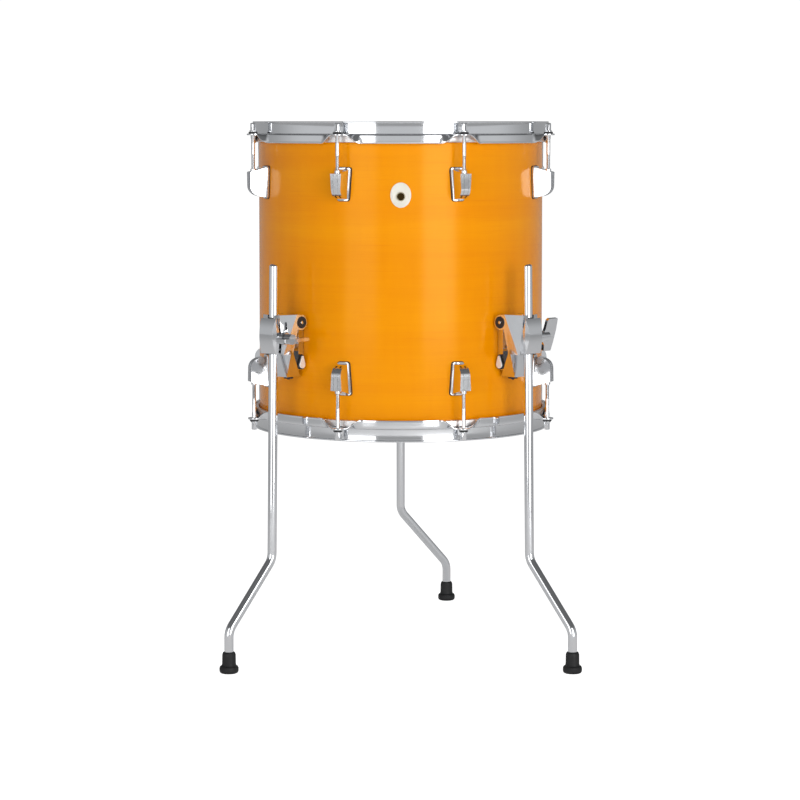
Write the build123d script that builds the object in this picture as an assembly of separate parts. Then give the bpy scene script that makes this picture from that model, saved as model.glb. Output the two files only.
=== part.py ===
from build123d import *
import math
import os

# Floor tom: 16 inch shell standing on three clamped legs.
# Millimetres. +Z is up through the drum, z = 0 is the floor, the badge faces -Y.
# Pieces are drawn round the drum's own axis and moved by frame_shift_y when they are
# written, so that the origin is the middle of the whole drum's footprint.

os.makedirs("parts", exist_ok=True)

# ---- driving sizes -------------------------------------------------------------------
shell_r = 201.5            # outside of the shell
shell_wall = 6.0
shell_length = 408.0
shell_low = 322.5          # lower bearing edge above the floor

film = 0.3                 # drumhead film
edge_run = 2.0             # how far the bearing edge's crown lies inside the shell's face
collar = 14.5              # depth of the film's collar down the shell
film_gap = 1.4             # between the collar and the shell
flesh_w = 5.4              # flesh hoop, radial
flesh_h = 8.9
flesh_drop = 7.1           # bearing edge down to the flesh hoop's top

hoop_t = 2.3               # hoop steel
hoop_gap = 0.6             # skirt to flesh hoop
hoop_seat = 0.3            # step to flesh hoop
hoop_lip = 12.5            # lip above the bearing edge
hoop_wall_r = 207.3        # outside of the upright wall
hoop_skirt = 13.8          # from the step's top down to the skirt's edge
hoop_lip_r = 211.0
ear_r = 9.5                # round end of an ear
bell_half = 33.0           # half width of the skirt's rise at an ear

lug_count = 8
rod_pitch_r = 222.0        # tension rods from the drum's axis
rod_r = 2.75
rod_length = 65.0
rod_square = 6.35
rod_head_h = 10.6
rod_flange_r = 5.2
rod_flange_t = 1.6
washer_r = 6.25
washer_t = 2.4
ear_hole_gap = 0.9         # rod in the hoop's ear, on the radius
turn_fit = 0.05            # a screw in its thread, a leg in its sleeve, on the radius
rest_gap = 0.3             # faces of pieces that move past one another

lug_h = 40.5
lug_out = 27.0             # lug's front face from the shell
lug_w_rod = 16.6           # front face's width at the rod's end
lug_w_far = 12.2
lug_root_rod = 20.6        # width at the flange
lug_root_far = 15.0
lug_straight = 24.0
lug_round = 2.4            # exponent of its rounded end; 2 is an ellipse
lug_slope = 5.7            # fall of the rod's end, from the shell to the front
lug_edge_gap = 52.0        # bearing edge to the lug's rod end
flange_w_rod = 24.0
flange_w_far = 17.0
flange_t = 2.4
gasket_t = 0.8
insert_r = 4.0
insert_len = 22.5
insert_drop = 1.3          # its top below the lug's highest edge
lug_screw_r = 2.0
lug_screw_pitch = 24.0
lug_screw_bite = 9.0

badge_z = 644.0
badge_w = 28.0
badge_h = 34.0
badge_t = 1.0
vent_r = 5.0
vent_rim_r = 6.2

leg_r = 6.35
leg_axis_r = 245.0
leg_lean = 0.8             # degrees, outward going down
leg_top = 549.5
leg_bend_z = 145.0
leg_bend_r = 24.0
leg_toe_r = 328.0          # foot from the drum's axis
leg_toe_z = 57.0
foot_r = 13.0
foot_neck_r = 9.2
foot_h = 29.0
foot_floor = 6.0           # rubber under the leg's end
rear_swivel = -65.0        # the rear leg's bend, turned in its clamp

clamp_z = 449.0            # wing screw's axis
clamp_low = 428.0
clamp_high = 476.0
clamp_face_r = 250.0       # parting face of body and cap
cap_t = 9.0
cap_half = 17.2            # the cap's half width at mid height
cap_half_end = 14.5        # and at its ends
cap_bevel = 4.0            # run of the bevel round its front
cap_crown = 60.0           # radius of the front face, seen from the side
sleeve_t = 1.5
shoe_w = 11.0
shoe_h = 14.0
shoe_back = 12.0           # rear face of the shoe from the leg's axis
shoe_travel = 4.0
screw_r = 4.0
screw_tip_r = 3.0
boss_r = 8.5
boss_end = 26.0
wing_hub_r = 7.0
wing_t = 4.5
wing_turns = {"right": 15.0, "left": 90.0, "rear": 15.0}   # degrees each wing's top leans out

base_half = 13.5
base_low = 402.0
base_high = 478.0
base_t = 9.0
body_high = 480.5
body_corner_low = 247.5    # where the side wall ends in front, at the clamp's foot
body_corner_high = 222.8
body_face_low = 22.2       # half width of the parting face
body_face_high = 14.7
tail_low = 394.5
tail_half = 10.0
tail_front = 230.0
tail_back = 205.0
cap_screw_r = 1.5
cap_screw_v = 12.2
pin_at_r = 214.0           # hinge pin of the isolated body
pin_at_z = 469.5
pin_r = 2.2
bushing_r = 8.3
eye_r = 10.2
cheek_in = 16.5
cheek_out = 23.0
bracket_screw_r = 2.5

shell_high = shell_low + shell_length
shell_mid = shell_low + shell_length / 2
flesh_top = shell_high - flesh_drop
film_in_r = shell_r + film_gap
flesh_in_r = film_in_r + film
flesh_out_r = flesh_in_r + flesh_w
skirt_in_r = flesh_out_r + hoop_gap
skirt_r = skirt_in_r + hoop_t
step_low = flesh_top + hoop_seat
step_high = step_low + hoop_t
lip_high = shell_high + hoop_lip
skirt_low = step_high - hoop_skirt
lug_back_r = shell_r + gasket_t
rod_seat = step_high + washer_t + rest_gap
sleeve_r = leg_r + turn_fit + sleeve_t
bore_r = sleeve_r + turn_fit

rod_angles = [-90 + 360 / lug_count * (i + 0.5) for i in range(lug_count)]
bracket_angles = {"right": -45.0, "left": -135.0, "rear": 90.0}
swivels = {"right": 0.0, "left": 0.0, "rear": rear_swivel}


def lean_at(z):
    """Distance of the leg's straight line from the drum's axis at height z."""
    return leg_axis_r + (clamp_z - z) * math.tan(math.radians(leg_lean))


def toe_spot(swivel):
    """(outward, sideways) of a foot whose leg is turned by swivel in its clamp."""
    throw = leg_toe_r - lean_at(leg_bend_z)
    turn = math.radians(swivel)
    return lean_at(leg_bend_z) + throw * math.cos(turn), throw * math.sin(turn)


# The two front feet and the rear foot set the footprint's depth.
front_foot_y = leg_toe_r * math.sin(math.radians(-45))
rear_foot_y = toe_spot(rear_swivel)[0]
frame_shift_y = -(front_foot_y + rear_foot_y) / 2


# ---- helpers -------------------------------------------------------------------------
def turned(points):
    """A solid of revolution from (radius, z) points."""
    outline = Plane.XZ * make_face(Polyline(*points, close=True))
    return revolve(outline, Axis.Z)


def ring(inner, outer, low, high):
    return turned([(inner, low), (outer, low), (outer, high), (inner, high)])


def side_plate(points, v_low, v_high):
    """(radius, z) outline made a plate between two tangential distances."""
    outline = Plane.XZ * make_face(Polyline(*points, close=True))
    plate = extrude(outline, v_high - v_low, dir=(0, 1, 0))
    return Pos(0, v_low, 0) * plate


def front_prism(outline, reach=260):
    """A (v, z) outline pushed outward along the radius."""
    return extrude(Plane.YZ * outline, reach)


def rod_along_v(radius, v_low, v_high, u, z):
    rod = Cylinder(radius, v_high - v_low, align=(Align.CENTER, Align.CENTER, Align.MIN))
    return Pos(u, v_low, z) * Rot(-90, 0, 0) * rod


def rod_along_u(radius, u_low, u_high, v, z):
    rod = Cylinder(radius, u_high - u_low, align=(Align.CENTER, Align.CENTER, Align.MIN))
    return Pos(u_low, v, z) * Rot(0, 90, 0) * rod


def rod_up(radius, low, high, u=0, v=0):
    rod = Cylinder(radius, high - low, align=(Align.CENTER, Align.CENTER, Align.MIN))
    return Pos(u, v, low) * rod


def block(u0, u1, v0, v1, z0, z1):
    return Pos((u0 + u1) / 2, (v0 + v1) / 2, (z0 + z1) / 2) * Box(u1 - u0, v1 - v0, z1 - z0)


def at(angle, shape):
    return Rot(0, 0, angle) * shape


def leaned(shape):
    """Tilted with the legs' straight part, about the wing screw's axis."""
    turn = Rot(0, -leg_lean, 0) * Pos(-leg_axis_r, 0, -clamp_z)
    return Pos(leg_axis_r, 0, clamp_z) * turn * shape


def flipped(shape):
    """The same piece at the other end of the shell."""
    return mirror(shape, Plane.XY.offset(shell_mid))


def write(name, solids):
    whole = solids if isinstance(solids, (list, tuple)) else [solids]
    bodies = [s for w in whole for s in w.solids()]
    moved = [Pos(0, frame_shift_y, 0) * s for s in bodies]
    export_step(Compound(children=moved) if len(moved) > 1 else moved[0], f"parts/{name}.step")
    print(name, len(moved))


# ---- shell ---------------------------------------------------------------------------
crown_r = shell_r - edge_run
inner_r = shell_r - shell_wall
inner_fall = crown_r - inner_r
shell = turned(
    [
        (inner_r, shell_low + inner_fall),
        (crown_r, shell_low),
        (shell_r, shell_low + edge_run),
        (shell_r, shell_high - edge_run),
        (crown_r, shell_high),
        (inner_r, shell_high - inner_fall),
    ]
)

# ---- heads ---------------------------------------------------------------------------
film_low = shell_high - collar
film_out_r = film_in_r + film
bend = film_in_r - crown_r
batter_film = turned(
    [
        (0, shell_high),
        (crown_r, shell_high),
        (film_in_r, shell_high - bend * 0.8),
        (film_in_r, film_low),
        (film_out_r, film_low),
        (film_out_r, shell_high - bend * 0.8 + film * 0.4),
        (crown_r + film * 0.3, shell_high + film),
        (0, shell_high + film),
    ]
)
batter_flesh_hoop = ring(flesh_in_r, flesh_out_r, flesh_top - flesh_h, flesh_top)
batter_flesh_hoop = fillet(batter_flesh_hoop.edges().filter_by(GeomType.CIRCLE), 1.0)

# ---- hoops ---------------------------------------------------------------------------
wall_in_r = hoop_wall_r - hoop_t
lip_round = 1.0
hoop_turned = turned(
    [
        (wall_in_r, step_low),
        (skirt_in_r, step_low),
        (skirt_in_r, skirt_low),
        (skirt_r, skirt_low),
        (skirt_r, step_high),
        (hoop_wall_r, step_high),
        (hoop_wall_r, lip_high - hoop_t),
        (hoop_lip_r, lip_high - hoop_t),
        (hoop_lip_r, lip_high - lip_round),
        (hoop_lip_r - lip_round, lip_high),
        (wall_in_r + lip_round, lip_high),
        (wall_in_r, lip_high - lip_round),
    ]
)

bell_rise = step_low - skirt_low
bell_points = []
for i in range(17):
    share = -1 + i / 8
    rise = (0.5 + 0.5 * math.cos(math.pi * share)) ** 0.75
    bell_points.append((share * bell_half, skirt_low + bell_rise * rise))
bell_line = Spline(*bell_points)
bell_close = Polyline(bell_points[-1], (bell_half, skirt_low - 4), (-bell_half, skirt_low - 4), bell_points[0])
bell = Pos(skirt_in_r - 8, 0, 0) * front_prism(make_face(bell_line + bell_close), 30)

ear_root = bell_half * 0.86
ear_outline = make_face(
    Polyline(
        (wall_in_r + 1, -ear_root),
        (skirt_r, -ear_root + 3),
        (skirt_r + 4.2, -15),
        (rod_pitch_r - 1, -ear_r),
        (rod_pitch_r - 1, ear_r),
        (skirt_r + 4.2, 15),
        (skirt_r, ear_root - 3),
        (wall_in_r + 1, ear_root),
        close=True,
    )
)
ear_outline += Pos(rod_pitch_r, 0) * Circle(ear_r)
ear_hole_r = rod_r + ear_hole_gap
ear = Pos(0, 0, step_low) * extrude(ear_outline, hoop_t)
ear -= ring(0, wall_in_r + 0.5, step_low - 1, step_high + 1)
ear_hole = rod_up(ear_hole_r, step_low - 5, step_high + 5, rod_pitch_r)

top_hoop = hoop_turned
for angle in rod_angles:
    top_hoop -= at(angle, bell)
for angle in rod_angles:
    top_hoop += at(angle, ear)
for angle in rod_angles:
    top_hoop -= at(angle, ear_hole)

# ---- tension rods --------------------------------------------------------------------
washer = rod_up(washer_r, step_high, step_high + washer_t, rod_pitch_r)
washer -= rod_up(rod_r + rest_gap, step_high - 1, step_high + washer_t + 1, rod_pitch_r)

rod = rod_up(rod_r, rod_seat - rod_length, rod_seat + 1, rod_pitch_r)
rod += rod_up(rod_flange_r, rod_seat, rod_seat + rod_flange_t, rod_pitch_r)
half_sq = rod_square / 2
head_low = rod_seat + rod_flange_t
square = block(-half_sq, half_sq, -half_sq, half_sq, head_low - 0.2, head_low + rod_head_h)
square = chamfer(square.edges().filter_by(Axis.Z), 0.5)
rod += Pos(rod_pitch_r, 0, 0) * square

# ---- lugs ----------------------------------------------------------------------------
lug_high = shell_high - lug_edge_gap
lug_low = lug_high - lug_h
lug_face_r = shell_r + lug_out
curve_points = [(lug_face_r, lug_high - lug_slope)]
for i in range(13):
    a = math.pi / 2 * i / 12
    curve_points.append(
        (
            shell_r + 1 + (lug_out - 1) * math.cos(a) ** (2 / lug_round),
            lug_high - lug_straight - (lug_h - lug_straight) * math.sin(a) ** (2 / lug_round),
        )
    )


def lug_side(inset):
    """The lug's side view, with its front drawn in by inset."""
    front = [(u - inset, z + inset * (1 if i > 6 else 0)) for i, (u, z) in enumerate(curve_points)]
    return [(shell_r - 2, lug_high), (shell_r + 6, lug_high)] + front + [(shell_r - 2, lug_low + inset)]


def lug_section(root, face, z):
    """The lug cut level: wide at the shell, narrow in front."""
    outline = [(shell_r - 2, -root / 2), (lug_face_r, -face / 2), (lug_face_r, face / 2), (shell_r - 2, root / 2)]
    return Plane.XY.offset(z) * make_face(Polyline(*outline, close=True))


def lug_taper(w_rod, w_far, over=0.0):
    return make_face(
        Polyline(
            (-w_rod / 2, lug_high + over),
            (w_rod / 2, lug_high + over),
            (w_far / 2, lug_low - over),
            (-w_far / 2, lug_low - over),
            close=True,
        )
    )


groove_w = 2.0
groove_at = 3.1
groove_deep = 1.1
lug_ends = [
    lug_section(lug_root_far, lug_w_far, lug_low),
    lug_section(lug_root_rod, lug_w_rod, lug_high),
]
lug = loft(lug_ends, ruled=True) & side_plate(lug_side(0), -lug_root_rod, lug_root_rod)
for side in (-1, 1):
    low = side * groove_at - groove_w / 2
    band = side_plate(lug_side(-3), low, low + groove_w)
    band -= side_plate(lug_side(groove_deep), low - 1, low + groove_w + 1)
    band &= block(shell_r + 6, lug_face_r + 5, -20, 20, lug_low + 2, lug_high + 1)
    lug -= band
flange_ring = ring(lug_back_r, lug_back_r + flange_t, lug_low - 5, lug_high + 5)
flange_corner = 4.0
flange_over = 2.2
flange_face = lug_taper(flange_w_rod, flange_w_far, flange_over)
flange_face = fillet(flange_face.vertices(), flange_corner)
lug += flange_ring & front_prism(flange_face)
lug -= rod_up(lug_back_r, lug_low - 9, lug_high + 9)
insert_hole_low = lug_high - insert_len - 4
lug -= rod_up(insert_r, insert_hole_low, lug_high + 5, rod_pitch_r)
lug_screw_z = [lug_high - lug_h / 2 + s * lug_screw_pitch / 2 for s in (-1, 1)]
screw_hole_end = lug_back_r + lug_screw_bite
for z in lug_screw_z:
    lug -= rod_along_u(lug_screw_r, 190, screw_hole_end, 0, z)

gasket_over = 0.8
gasket_face = lug_taper(flange_w_rod + 2 * gasket_over, flange_w_far + 2 * gasket_over, flange_over + gasket_over)
gasket_face = fillet(gasket_face.vertices(), flange_corner)
lug_gasket = ring(shell_r, lug_back_r, lug_low - 9, lug_high + 9) & front_prism(gasket_face)
screw_way = lug_screw_r + 0.4
for z in lug_screw_z:
    lug_gasket -= rod_along_u(screw_way, 190, 215, 0, z)

insert = rod_up(insert_r, lug_high - insert_drop - insert_len, lug_high - insert_drop, rod_pitch_r)
insert -= rod_up(rod_r + turn_fit, lug_high - insert_len - 4, lug_high + 9, rod_pitch_r)

# Screws from inside: washer against the wall, pan head on the washer.
inner_flat = math.sqrt(inner_r ** 2 - 5.0 ** 2)
lug_washer_t = 1.0
lug_washers = []
lug_screws = []
for z in lug_screw_z:
    ring_part = rod_along_u(5.0, inner_flat - lug_washer_t, inner_flat, 0, z)
    ring_part -= rod_along_u(lug_screw_r, 180, 200, 0, z)
    lug_washers.append(ring_part)
    screw = rod_along_u(lug_screw_r, inner_flat - lug_washer_t - 1, screw_hole_end - 1, 0, z)
    head = rod_along_u(3.6, inner_flat - lug_washer_t - 3.0, inner_flat - lug_washer_t, 0, z)
    head = fillet(head.edges().sort_by(Axis.X)[0], 1.2)
    lug_screws.append(screw + head)

# ---- badge and vent ------------------------------------------------------------------
badge_face = Ellipse(badge_w / 2, badge_h / 2)
badge = ring(shell_r, shell_r + badge_t, badge_z - 30, badge_z + 30)
badge &= Pos(0, 0, badge_z) * front_prism(badge_face)
rim = ring(shell_r + badge_t * 0.5, shell_r + badge_t + 0.6, badge_z - 30, badge_z + 30)
rim_face = badge_face - Ellipse(badge_w / 2 - 1.8, badge_h / 2 - 1.8)
badge += rim & (Pos(0, 0, badge_z) * front_prism(rim_face))
vent_z = badge_z - 2
vent_barrel_r = vent_r + 0.8
vent_way = rod_along_u(vent_barrel_r, 180, 220, 0, vent_z)
badge -= vent_way
vent = rod_along_u(vent_barrel_r, inner_r - 1.5, shell_r + badge_t + 1.0, 0, vent_z)
vent += rod_along_u(vent_rim_r, shell_r + badge_t, shell_r + badge_t + 1.2, 0, vent_z)
vent += rod_along_u(vent_rim_r, inner_r - 1.5, math.sqrt(inner_r ** 2 - vent_rim_r ** 2), 0, vent_z)
vent -= rod_along_u(vent_r, 180, 220, 0, vent_z)

# ---- leg brackets --------------------------------------------------------------------
base_front = shell_r + gasket_t + base_t
outline = Pos(0, (base_low + base_high) / 2) * Rectangle(2 * base_half, base_high - base_low)
outline = fillet(outline.vertices(), 5)
base = front_prism(outline) & ring(lug_back_r, base_front + 20, base_low - 5, base_high + 5)
base &= block(150, base_front, -40, 40, base_low - 5, base_high + 5)
knuckle_half = cheek_in - 0.5
knuckle = rod_along_v(7.5, -knuckle_half, knuckle_half, pin_at_r, pin_at_z)
knuckle += block(base_front - 3, pin_at_r, -knuckle_half, knuckle_half, pin_at_z - 7.5, pin_at_z + 7.5)
base += knuckle
base -= rod_along_v(pin_r, -40, 40, pin_at_r, pin_at_z)
eye_room = rod_along_v(eye_r + 0.8, cheek_in - 0.4, 40, pin_at_r, pin_at_z)
base -= eye_room
base -= mirror(eye_room, Plane.XZ)
base_screw_spots = [(s, z) for s in (-8.0, 8.0) for z in (base_low + 10, base_low + 44)]
base_screw_deep = 6.5
for v, z in base_screw_spots:
    base -= rod_along_u(bracket_screw_r, 180, shell_r + base_screw_deep, v, z)

base_gasket_in = 0.6
gasket_w = 2 * (base_half - base_gasket_in)
gasket_h = base_high - base_low - 2 * base_gasket_in
outline = Pos(0, (base_low + base_high) / 2) * Rectangle(gasket_w, gasket_h)
outline = fillet(outline.vertices(), 5)
base_gasket = front_prism(outline) & ring(shell_r, lug_back_r, base_low - 5, base_high + 5)
for v, z in base_screw_spots:
    base_gasket -= rod_along_u(bracket_screw_r + 0.5, 180, 215, v, z)

# Body: a block whose flanks slope in to the cap, a tail below, and an eye in each
# cheek above for the rubber bushings.
def level(points, z):
    """A level section from its (u, v) points on one side, made symmetrical."""
    other = [(u, -v) for u, v in reversed(points)]
    return Plane.XY.offset(z) * make_face(Polyline(*points, *other, close=True))


body_low = clamp_low - 1
low_section = [(pin_at_r, cheek_out), (body_corner_low, cheek_out), (clamp_face_r, body_face_low)]
high_section = [(pin_at_r, cheek_out), (body_corner_high, cheek_out), (clamp_face_r, body_face_high)]
body = loft([level(low_section, body_low), level(high_section, body_high)], ruled=True)
waist_r = 229.0            # the side wall's rear edge, at the tail's root
shoulder_r = 221.0         # and below the eye
body &= side_plate(
    [
        (pin_at_r, pin_at_z + eye_r),
        (body_corner_high, body_high),
        (clamp_face_r, body_high),
        (clamp_face_r, body_low),
        (waist_r, body_low),
        (waist_r, body_low + 4),
        (shoulder_r, pin_at_z - eye_r + 1),
        (pin_at_r, pin_at_z - eye_r),
    ],
    -cheek_out,
    cheek_out,
)
tail_top = [(waist_r, cheek_out), (waist_r + 5, cheek_out)]
tail_end = [(tail_back, tail_half), (tail_front, tail_half)]
body += loft([level(tail_end, tail_low), level(tail_top, body_low)], ruled=True)
core_back = pin_at_r + 12
eyes = rod_along_v(eye_r, -cheek_out, cheek_out, pin_at_r, pin_at_z)
body += eyes
body -= block(200, core_back, -cheek_in, cheek_in, pin_at_z - eye_r - 1.5, body_high + 5)
body -= rod_along_v(bushing_r, -40, 40, pin_at_r, pin_at_z)
body += rod_along_v(boss_r, 4, boss_end, leg_axis_r, clamp_z)

# On the wing's side: the jaw's gap, a cored slot and a cast boss.
jaw_gap = 2.2
gap_from = 9.0
gap = block(clamp_face_r - jaw_gap, clamp_face_r + 1, gap_from, 40, body_low - 1, body_high + 1)
gap -= rod_along_v(boss_r, 0, 40, leg_axis_r, clamp_z)
body -= gap
body -= block(238.5, 241.5, 13.5, 40, 460.5, 471)
body += rod_along_v(2.6, 17, cheek_out + 1.4, 235.7, 446)

sleeve_way = leaned(rod_up(bore_r, clamp_low - 60, clamp_high + 40, leg_axis_r))
body -= sleeve_way
shoe_gap = rest_gap
half_w = shoe_w / 2 + shoe_gap
half_h = shoe_h / 2 + shoe_gap
pocket_end = shoe_back + shoe_travel + shoe_gap
pocket = block(leg_axis_r - half_w, leg_axis_r + half_w, 0, pocket_end, clamp_z - half_h, clamp_z + half_h)
body -= pocket
body -= rod_along_v(screw_r + turn_fit, 4, boss_end + 5, leg_axis_r, clamp_z)

# Cap: the outer jaw, barrelled from top to bottom and widest at mid height.
cap_mid = (clamp_high + clamp_low) / 2
cap_tall = clamp_high - clamp_low


def cap_outline(low_half, mid_half, high_half, reach):
    """The cap seen from the front, at one distance from the drum's axis."""
    flank = ThreePointArc((low_half, clamp_low), (mid_half, cap_mid), (high_half, clamp_high))
    other = ThreePointArc((-high_half, clamp_high), (-mid_half, cap_mid), (-low_half, clamp_low))
    top = Line(flank @ 1, other @ 0)
    foot = Line(other @ 1, flank @ 0)
    return Plane.YZ.offset(reach) * make_face(flank + top + other + foot)


bevel_from = clamp_face_r + cap_t - cap_bevel
cap_faces = [
    cap_outline(cap_half_end + 1.0, cap_half, body_face_high, clamp_face_r),
    cap_outline(cap_half_end, cap_half, cap_half_end, bevel_from),
    cap_outline(cap_half_end - cap_bevel, cap_half - cap_bevel, cap_half_end - cap_bevel, clamp_face_r + cap_t),
]
cap = loft(cap_faces, ruled=True)
cap &= rod_along_v(cap_crown, -40, 40, clamp_face_r + cap_t - cap_crown, cap_mid)
cap -= sleeve_way
cap -= pocket
cap -= rod_along_v(boss_r + 0.15, 2, boss_end + 5, leg_axis_r, clamp_z)
slot_low = clamp_high - 16
for side in (-1, 1):
    slot = side_plate(
        [(clamp_face_r - 1, clamp_high + 1), (clamp_face_r + 4, clamp_high + 1), (clamp_face_r + 1, slot_low)],
        10.2 if side > 0 else -30,
        30 if side > 0 else -10.2,
    )
    cap -= slot

# Screws that hold the cap, from behind.
cap_screw_seat = 231.0
cap_screw_spots = [(v, z) for v in (-cap_screw_v, cap_screw_v) for z in (clamp_low + 6, clamp_high - 12)]
cap_screws = []
for v, z in cap_screw_spots:
    body -= rod_along_u(3.4, 200, cap_screw_seat, v, z)
    body -= rod_along_u(cap_screw_r, 200, 260, v, z)
    way = rod_along_u(cap_screw_r, 200, clamp_face_r + 4.5, v, z)
    cap -= way
    shank = rod_along_u(cap_screw_r, cap_screw_seat - 1, clamp_face_r + 4.5, v, z)
    cap_screws.append(shank + rod_along_u(3.0, cap_screw_seat - 2.6, cap_screw_seat, v, z))

bushing = rod_along_v(bushing_r, cheek_in, cheek_out + 0.6, pin_at_r, pin_at_z)
bushing -= rod_along_v(pin_r, 0, 60, pin_at_r, pin_at_z)
hinge_pin = rod_along_v(pin_r, -cheek_out - 1.2, cheek_out + 1.2, pin_at_r, pin_at_z)

# Drop-shaped rubber bumpers at the sides, each with a bright cap, and one under the tail.
drop_z = 411.0
drop_u = 208.6
drop_r = 6.7
drop_rim = 1.6


def drop(radius, v_low, v_high):
    """Round below, drawn to a blunt point above."""
    tall = radius + 7.4
    flat = make_face(
        Polyline(
            (drop_u - radius * 0.985, drop_z + radius * 0.17),
            (drop_u - radius * 0.42, drop_z + tall * 0.93),
            (drop_u - radius * 0.1, drop_z + tall),
            (drop_u + radius * 0.2, drop_z + tall * 0.95),
            (drop_u + radius * 0.985, drop_z + radius * 0.17),
            (drop_u, drop_z - radius * 0.3),
            close=True,
        )
    )
    tip = extrude(Plane.XZ * flat, v_high - v_low, dir=(0, 1, 0))
    return Pos(0, v_low, 0) * tip + rod_along_v(radius, v_low, v_high, drop_u, drop_z)


bumper = drop(drop_r, base_half, base_half + 3.6)
bumper -= rod_up(lug_back_r, 300, 500)
bumper_cap = drop(drop_r - drop_rim, base_half + 3.6, base_half + 5.8)
tail_bumper_u = 217.5
tail_bumper = rod_up(6.4, tail_low - 3.0, tail_low, tail_bumper_u)
tail_bumper += rod_up(1.8, tail_low - 4.6, tail_low - 2.8, tail_bumper_u)

base_washers = []
base_screws = []
for v, z in base_screw_spots:
    flat_at = math.sqrt(inner_r ** 2 - (abs(v) + 6.0) ** 2)
    disc = rod_along_u(6.0, flat_at - 1.2, inner_r, v, z) & rod_up(inner_r, z - 10, z + 10)
    disc -= rod_along_u(bracket_screw_r, 170, 210, v, z)
    base_washers.append(disc)
    screw = rod_along_u(bracket_screw_r, flat_at - 2, shell_r + base_screw_deep - 0.5, v, z)
    head = rod_along_u(4.4, flat_at - 4.8, flat_at - 1.2, v, z)
    head = fillet(head.edges().sort_by(Axis.X)[0], 1.4)
    base_screws.append(screw + head)

# Every hole through the shell.
for angle in rod_angles:
    for z in lug_screw_z:
        way = rod_along_u(screw_way, 180, 215, 0, z)
        shell -= at(angle, way)
        shell -= at(angle, flipped(way))
for angle in bracket_angles.values():
    for v, z in base_screw_spots:
        shell -= at(angle, rod_along_u(bracket_screw_r + 0.5, 180, 215, v, z))
shell -= at(-90, vent_way)

# ---- clamp insides, wing screw, legs -------------------------------------------------
sleeve = rod_up(sleeve_r, clamp_low - 1, clamp_high + 1, leg_axis_r)
sleeve -= rod_up(leg_r + turn_fit, clamp_low - 5, clamp_high + 5, leg_axis_r)
sleeve -= block(leg_axis_r - 12, leg_axis_r, -0.8, 0.8, clamp_low - 5, clamp_high + 5)
sleeve = leaned(sleeve)

shoe = block(
    leg_axis_r - shoe_w / 2,
    leg_axis_r + shoe_w / 2,
    3.0,
    shoe_back,
    clamp_z - shoe_h / 2,
    clamp_z + shoe_h / 2,
)
shoe -= leaned(rod_up(bore_r, clamp_low - 5, clamp_high + 5, leg_axis_r))
socket_in = 2.2
shoe -= rod_along_v(screw_tip_r + turn_fit, shoe_back - socket_in - rest_gap, shoe_back + 1, leg_axis_r, clamp_z)

hub_low = boss_end + 1.0
screw = rod_along_v(screw_tip_r, shoe_back - socket_in, shoe_back + 1, leg_axis_r, clamp_z)
screw += rod_along_v(screw_r, shoe_back + rest_gap, hub_low + 1, leg_axis_r, clamp_z)
screw += rod_along_v(wing_hub_r, hub_low, hub_low + 12, leg_axis_r, clamp_z)
blade_line = [
    (hub_low + 1.5, -5.0),
    (hub_low + 7, -12.0),
    (hub_low + 8.5, -21.0),
    (hub_low + 23.0, -21.0),
    (hub_low + 24.5, -8.0),
    (hub_low + 25.5, 9.0),
    (hub_low + 24.5, 25.8),
    (hub_low + 7.0, 25.8),
    (hub_low + 4.5, 23.5),
    (hub_low + 3.6, 12.0),
    (hub_low + 2.5, 7.0),
]
blade_face = Plane.YZ * make_face(Polyline(*blade_line, close=True))
blade = Pos(-wing_t / 2, 0, 0) * extrude(blade_face, wing_t)
blade = fillet(blade.edges().filter_by(Axis.X), 1.0)


def wing_screw(turn):
    return screw + Pos(leg_axis_r, 0, clamp_z) * Rot(0, turn, 0) * blade


def leg_path(swivel):
    """Straight down in the clamp, out along the bend, then upright into the foot."""
    toe_u, toe_v = toe_spot(swivel)
    return FilletPolyline(
        (lean_at(leg_top), 0, leg_top),
        (lean_at(leg_bend_z), 0, leg_bend_z),
        (toe_u, toe_v, leg_toe_z),
        (toe_u, toe_v, foot_floor),
        radius=leg_bend_r,
    )


def leg_rod(swivel):
    path = leg_path(swivel)
    start = Plane(origin=path @ 0, z_dir=path % 0)
    bar = sweep(start * Circle(leg_r), path=path)
    return fillet(bar.edges().filter_by(GeomType.CIRCLE).sort_by(Axis.Z)[-1], leg_r * 0.55)


foot = turned(
    [
        (0, 0),
        (foot_r - 2.2, 0),
        (foot_r - 0.6, 1.2),
        (foot_r, 3.4),
        (foot_r, 7.0),
        (foot_r - 0.8, 9.0),
        (foot_neck_r + 0.8, 10.4),
        (foot_neck_r + 0.2, 12.5),
        (foot_neck_r, foot_h - 4),
        (foot_neck_r - 0.9, foot_h - 1.2),
        (foot_neck_r - 2.4, foot_h),
        (0, foot_h),
    ]
)
foot -= rod_up(leg_r, foot_floor, foot_h + 5)


def foot_at(swivel):
    return Pos(*toe_spot(swivel), 0) * foot


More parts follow.
